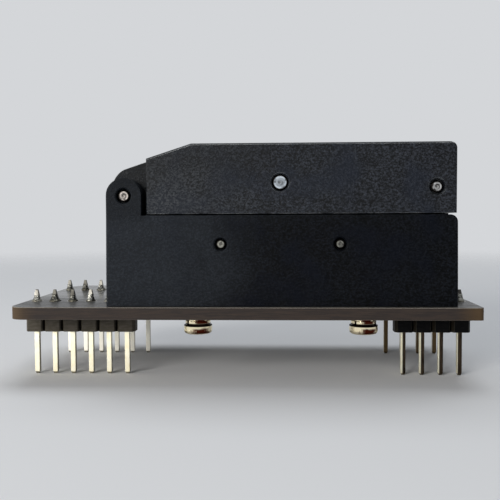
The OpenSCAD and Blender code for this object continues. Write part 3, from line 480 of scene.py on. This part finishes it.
def turned_steel(name, middle, flat, bright, swirl, gap=0.0):
    """Ground steel pins, one at the middle or one at the gap on either side of it. Their ends keep
    the centre mark and the spiral of the turning tool, as plain as the swirl says. Round the flat
    of an end run a painted highlight ring and a painted shade rim."""
    f = Finish(name)
    point = f.place()
    x, y, z = f.split(point)
    across = abs(x - middle[0]) - gap if gap else x - middle[0]
    rise = z - middle[1]
    reach = (across * across + rise * rise) ** 0.5
    spiral_pitch = 0.46
    turns = reach * (TURN / spiral_pitch) + rise.math("ARCTAN2", rise, across)
    spiral = turns.sine() * 0.5 + 0.5
    end = abs(y) > CROSS_PIN_END - END_CHAMFER
    mark = f.ease(reach, 0.1, 0.24, 1.0, 0.0)
    ground = f.noise(f.stretch(point, (6.0, 0.4, 6.0)), 3.0, detail=3.0)
    smear = f.noise(point, 1.7, detail=3.0)
    turned = f.ease(spiral * swirl + smear * (1 - swirl), 0.04 + 0.4 * swirl, 0.66)
    colour = f.blend(turned, tone("3f3d3c"), bright)
    # Painted highlight: a pale ring inside the rim of each end.
    painted_highlight_ring = f.ease(reach, flat - 0.26, flat - 0.12) * f.ease(smear, 0.4, 0.56)
    highlight_tone = (*(min(2.1 * c, 1.0) for c in bright[:3]), 1.0)
    colour = f.blend(painted_highlight_ring * end * 0.6, colour, highlight_tone)
    colour = f.blend(mark * end * 0.35, colour, tone("4b4845"))
    # Painted shade: a dark rim round the flat of each end.
    colour = f.blend(f.ease(reach, flat - 0.05, flat + 0.04) * end, colour, tone("24211f"))
    height = (spiral * 0.6 - mark * 0.8) * end + ground * 0.15 * (1 - end)
    return f.surface(
        Base_Color=colour,
        Metallic=1.0,
        Roughness=0.32 + 0.16 * smear,
        Normal=f.bump(height, 0.012, f.rounded(0.05)),
    )


def milled(name, dark, light, rough):
    """Machined plastic with the faint arcs of a cutter that swept round a far centre."""
    f = Finish(name)
    point = f.place()
    x, y, _ = f.split(point)
    centre_x, centre_y, fineness = 40.0, -26.0, 9.0
    dx, dy = x - centre_x, y - centre_y
    sweep = (dx * dx + dy * dy) ** 0.5
    arcs = (sweep * fineness).sine() * 0.5 + 0.5
    grain = f.noise(point, 4.0, detail=4.0, roughness=0.6)
    colour = f.blend(f.ease(grain * 0.75 + arcs * 0.25, 0.3, 0.72), dark, light)
    soft = f.rounded(0.1)
    return f.surface(
        Base_Color=f.blend(f.edges(soft) * 0.5, colour, light),
        Roughness=rough + 0.15 * grain,
        Specular_IOR_Level=0.4,
        Normal=f.bump(arcs * 0.5 + grain * 0.5, 0.012, soft),
    )


FINISHES = {
    "base_plastic": moulded(
        "base plastic",
        dark=tone("020304"),
        light=tone("14171d"),
        cool=tone("080c16"),
        worn_and_lit_edge=tone("4a4d50"),
        lit_end_tone=tone("292d33"),
        lit_mottle_share=0.5,
        rough=0.42,
        depth=0.03,
        shine=0.06,
    ),
    "lid_plastic": moulded(
        "lid plastic",
        dark=tone("040609"),
        light=tone("32363e"),
        cool=tone("171d29"),
        worn_and_lit_edge=tone("ced2d4"),
        lit_end_tone=tone("3c3f42"),
        lit_mottle_share=1.0,
        rough=0.48,
        depth=0.04,
        shine=0.16,
    ),
    "board_black": laminate(),
    "header_plastic": strip_plastic(),
    "gold_pin": header_pin(),
    "solder": solder_metal(),
    "plate_plastic": milled("probe plate amber", tone("5d3f1e"), tone("845c2f"), rough=0.4),
    "nest_plastic": milled("nest plastic", tone("1d1f22"), tone("303338"), rough=0.42),
    "probe_gold": plated("probe gold", tone("f2d384"), tone("d9b45c"), rough=0.16, along=(3.0, 3.0, 0.3)),
    "spring_steel": plated("spring wire", tone("d5d7da"), tone("a9acb0"), rough=0.22, along=(1.5, 1.5, 1.5)),
    "screw_steel": screw_nickel(),
    "insert_brass": plated("insert brass", tone("e3c272"), tone("b8924a"), rough=0.25, along=(1.0, 1.0, 3.0)),
}

# The cross pins have finishes of their own, because the turning marks need the middle of each pin
CROSS_PINS = {
    # Their bright tones are lit and shaded copies of one steel, set pin by pin as painted light and shade.
    "hinge_pin": turned_steel("hinge pin steel", HINGE, flat=0.57, bright=tone("6e6a67"), swirl=0.6),
    "pusher_pin": turned_steel("pusher pin steel", PUSHER, flat=0.8, bright=tone("8f969d"), swirl=0.15),
    "latch_pin": turned_steel("latch pin steel", LATCH, flat=0.57, bright=tone("9c9c9b"), swirl=0.6),
    "nest_pins": turned_steel(
        "nest pin steel", NEST, flat=0.44, bright=tone("686862"), swirl=0.35, gap=NEST_PIN_GAP
    ),
}


def put_on_finishes():
    slots = {row["node"]: row["material_slot"] for row in frame["record"]["subparts"]}
    for name, solid in frame["nodes"].items():
        finish = CROSS_PINS.get(name) or FINISHES[slots[name]]
        for place in solid.material_slots:
            place.material = finish


def add_piece(name, shape):
    piece = bpy.data.objects.new(name, shape)
    bpy.context.scene.collection.objects.link(piece)
    return piece


def solder_cone(x, y, widest, draw):
    """One hand-soldered cone: rings of points from a round, uneven foot up to the square pin,
    closed by a flat foot and by a small square let into the pin."""
    sides, rings = 28, 10
    foot = draw.uniform(0.62, widest)
    tall = draw.uniform(0.72, 1.05)
    lean = (draw.uniform(-0.05, 0.05), draw.uniform(-0.05, 0.05))
    lumps = [(k, draw.uniform(0.0, 0.07 / k), draw.uniform(0.0, TURN)) for k in (1, 2, 3, 5)]
    hug = PIN_HALF + 0.03
    points = []
    for i in range(rings):
        rise = i / (rings - 1)
        reach = hug + (foot - hug) * (1 - rise) ** draw.uniform(1.9, 2.3)
        square = 2.0 + 4.0 * rise * rise
        shift = rise * (1 - rise)
        for k in range(sides):
            angle = TURN * k / sides
            cos, sin = math.cos(angle), math.sin(angle)
            full = (abs(cos) ** square + abs(sin) ** square) ** (-1 / square)
            uneven = 1 + sum(size * math.sin(n * angle + phase) for n, size, phase in lumps) * (1 - rise)
            out = reach * full * uneven
            spot = (x + out * cos + shift * lean[0], y + out * sin + shift * lean[1])
            points.append((*spot, BOARD_TOP + tall * rise))
    inner, sunk = PIN_HALF * 0.6, 0.06
    for a, b in ((1, 0), (0, 1), (-1, 0), (0, -1)):
        points.append((x + inner * a, y + inner * b, BOARD_TOP + tall - sunk))

    faces = []
    for i in range(rings - 1):
        for k in range(sides):
            here, after = i * sides + k, i * sides + (k + 1) % sides
            faces.append((here, after, after + sides, here + sides))
    faces.append(tuple(range(sides - 1, -1, -1)))
    top, cap = (rings - 1) * sides, rings * sides
    quarter = sides // 4
    for q in range(4):
        run = [top + (q * quarter + j) % sides for j in range(quarter + 1)]
        faces.append((*run, cap + (q + 1) % 4, cap + q))
    faces.append((cap, cap + 1, cap + 2, cap + 3))
    return points, faces


def solder_cones():
    """All the solder cones as one piece, in the place of their plain solids.
    Those that stand free of the socket have wider feet."""
    draw = random.Random(63)
    points, faces = [], []
    for column in LEFT_COLUMNS + RIGHT_COLUMNS:
        widest = 0.9 if column in OPEN_COLUMNS else 0.76
        for side in (-1, 1):
            more, around = solder_cone(column_place(column), side * ROW_Y, widest, draw)
            faces += [tuple(len(points) + k for k in face) for face in around]
            points += more
    shape = bpy.data.meshes.new("solder_cones")
    shape.from_pydata([tuple(c * MM for c in point) for point in points], [], faces)
    shape.polygons.foreach_set("use_smooth", [True] * len(shape.polygons))
    shape.materials.append(FINISHES["solder"])
    piece = add_piece("solder_cones", shape)
    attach(piece, "socket")
    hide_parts("solder_joints")


def wire_piece(name, runs, wire, node, bodies, start, end):
    """Round spring wire along runs of points, in the place of a spring's plain solid.
    Its bodies, start and end are not used."""
    line = bpy.data.curves.new(name, "CURVE")
    line.dimensions = "3D"
    line.bevel_depth = wire / 2 * MM
    line.bevel_resolution = 3
    line.use_fill_caps = True
    for run in runs:
        spline = line.splines.new("POLY")
        spline.points.add(len(run) - 1)
        for place, spot in zip(spline.points, run):
            place.co = (*(c * MM for c in spot), 1.0)
    line.materials.append(FINISHES["spring_steel"])
    strand = add_piece("strand", line)
    shape = bpy.data.meshes.new_from_object(strand.evaluated_get(bpy.context.evaluated_depsgraph_get()))
    bpy.data.objects.remove(strand)
    piece = add_piece(name, shape)
    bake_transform(piece)
    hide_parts(node)


def coil_run(outer, wire, turns, length, closed=0.8):
    """A compression spring along +Z with closed end coils, as points."""
    radius = (outer - wire) / 2
    closed_pitch = 0.55 * wire
    count = math.ceil(turns * COIL_STEPS)
    low, high = wire / 2, length - wire / 2
    points = []
    for k in range(count + 1):
        turn = turns * k / count
        share = min(max((turn - closed) / (turns - 2 * closed), 0.0), 1.0)
        tail = max(turn - (turns - closed), 0.0)
        rise = low + closed_pitch * (min(turn, closed) + tail)
        rise += share * (high - low - 2 * closed_pitch * closed)
        points.append((radius * math.cos(TURN * turn), radius * math.sin(TURN * turn), rise))
    return points


def nest_wires():
    """The four springs under the chip nest, standing in the base."""
    low, high = corners("nest_springs")
    coil = coil_run(NEST_COIL, NEST_WIRE, NEST_TURNS, high.z - low.z)
    along, aside = NEST_SPRING_REACH
    spots = [(NEST[0] + sx * along, sy * aside) for sx in (-1, 1) for sy in (-1, 1)]
    runs = [[(x + px, y + py, low.z + z) for px, py, z in coil] for x, y in spots]
    ends = {"start": (0, 0, low.z * MM), "end": (0, 0, high.z * MM)}
    wire_piece("nest_spring_wires", runs, NEST_WIRE, "nest_springs", ("socket", "nest"), **ends)


def latch_wires():
    """The two springs lying in the lid behind the latch's thumb tab."""
    low, high = corners("latch_springs")
    level = (low.z + high.z) / 2
    coil = coil_run(LATCH_COIL, LATCH_WIRE, LATCH_TURNS, high.x - low.x)
    sides = (-LATCH_SPRING_REACH, LATCH_SPRING_REACH)
    runs = [[(low.x + z, y + py, level + px) for px, py, z in coil] for y in sides]
    ends = {"start": (low.x * MM, 0, 0), "end": (high.x * MM, 0, 0)}
    wire_piece("latch_spring_wires", runs, LATCH_WIRE, "latch_springs", ("lid", "latch"), **ends)


def hinge_wires():
    """The spring round the hinge pin, with a foot in the base and an arm under the lid."""
    low, high = corners("hinge_spring")
    radius = HINGE[0] - low.x - HINGE_WIRE / 2
    length = HINGE_COIL_PITCH * HINGE_TURNS
    count = math.ceil(HINGE_TURNS * COIL_STEPS)
    points = []
    for k in range(count + 1):
        turn = HINGE_TURNS * k / count
        x = HINGE[0] - radius * math.cos(TURN * turn)
        z = HINGE[1] + radius * math.sin(TURN * turn)
        points.append((x, HINGE_COIL_PITCH * turn - length / 2, z))
    foot = (HINGE[0] - radius, -length / 2, low.z)
    arm = (high.x, *points[-1][1:])
    run = [foot, *points, arm]
    half = length / 2 * MM
    ends = {"start": (0, -half, 0), "end": (0, half, 0)}
    wire_piece("hinge_spring_wire", [run], HINGE_WIRE, "hinge_spring", ("socket", "lid"), **ends)


def pale_floor():
    """A round pale floor just under the pin tips, clear from below and fading out far from the part."""
    radius, sides, drop = 700.0, 64, 0.02
    fade_start, fade_end = 90.0, 420.0
    angles = [TURN * k / sides for k in range(sides)]
    rim = [(radius * MM * math.cos(a), radius * MM * math.sin(a), -drop * MM) for a in angles]
    sheet = bpy.data.meshes.new("floor")
    sheet.from_pydata(rim, [], [list(range(sides))])
    f = Finish("pale floor")
    point = f.place()
    colour = f.blend(f.noise(point, 0.004, detail=2.0), tone("dcdde0"), tone("e4e5e8"))
    far = f.ease(f.vector("LENGTH", {0: point}, out="Value"), fade_start, fade_end)
    below = f.node("ShaderNodeNewGeometry", out="Backfacing")
    matt = {"Base Color": colour, "Roughness": 1.0, "Specular IOR Level": 0.0}
    paper = f.node("ShaderNodeBsdfPrincipled", sockets=matt)
    clear = f.node("ShaderNodeBsdfTransparent")
    faded = f.node("ShaderNodeMixShader", sockets={0: far + below, 1: paper, 2: clear})
    f.node("ShaderNodeOutputMaterial", sockets={"Surface": faded})
    sheet.materials.append(f.owner)
    add_piece("floor", sheet)


def pale_room():
    """A pale room to look at and to mirror, which lights matt surfaces only a little."""
    world = bpy.data.worlds.new("pale room")
    bpy.context.scene.world = world
    f = Finish("pale room", world)
    shown = f.node("ShaderNodeLightPath", out="Is Camera Ray")
    mirrored = f.node("ShaderNodeLightPath", out="Is Glossy Ray")
    through = f.node("ShaderNodeLightPath", out="Is Transmission Ray")
    light = f.node("ShaderNodeBackground", sockets={"Color": (0.9, 0.95, 1.0, 1.0), "Strength": 0.2})
    pale = f.node("ShaderNodeBackground", sockets={"Color": tone("d4d6d9"), "Strength": 1.0})
    seen = (shown + mirrored + through).at_most(1.0)
    room = f.node("ShaderNodeMixShader", sockets={0: seen, 1: light, 2: pale})
    f.node("ShaderNodeOutputWorld", sockets={"Surface": room})


def lamp(name, place, aim, size, watts, colour):
    """A soft rectangular lamp that looks from its place at its aim."""
    light = bpy.data.lights.new(name, "AREA")
    light.shape = "RECTANGLE"
    light.size, light.size_y = (side * MM for side in size)
    light.energy = watts
    light.color = colour
    stand = add_piece(name, light)
    stand.location = Vector(place) * MM
    stand.rotation_euler = (Vector(aim) - Vector(place)).to_track_quat("-Z", "Y").to_euler()


def studio():
    pale_floor()
    pale_room()
    lamp("key", (-210, -340, 130), aim=(0, 0, 15), size=(200, 160), watts=1.3, colour=(1.0, 0.97, 0.92))
    lamp("top", (20, 140, 500), aim=(0, 0, 20), size=(400, 300), watts=1.2, colour=(0.95, 0.98, 1.0))
    lamp("side", (-450, -80, 60), aim=(0, 0, 10), size=(200, 140), watts=0.6, colour=(1.0, 0.96, 0.9))


def photo_camera():
    """The camera as fitted to the pins of both rows, for a square picture."""
    place = Vector((4.645, -102.214, 21.309))
    yaw, pitch, roll = -0.0422, -0.0435, -0.0041
    focal_pixels, picture_pixels = 688.0, 500
    ahead = Vector((math.sin(yaw) * math.cos(pitch), math.cos(yaw) * math.cos(pitch), math.sin(pitch)))
    side = Vector((math.cos(yaw), -math.sin(yaw), 0.0))
    up = side.cross(ahead)
    right = math.cos(roll) * side + math.sin(roll) * up
    above = math.cos(roll) * up - math.sin(roll) * side
    turn = Matrix((right, above, -ahead)).transposed().to_4x4()
    lens = bpy.data.cameras.new("photo camera")
    lens.sensor_fit = "HORIZONTAL"
    lens.sensor_width = 36.0
    lens.lens = focal_pixels / picture_pixels * lens.sensor_width
    lens.clip_start = 5.0 * MM
    camera = add_piece("photo camera", lens)
    camera.matrix_world = Matrix.Translation(place * MM) @ turn
    bpy.context.scene.camera = camera


put_on_finishes()
solder_cones()
nest_wires()
latch_wires()
hinge_wires()
studio()
photo_camera()
bpy.context.scene.view_settings.view_transform = "Standard"
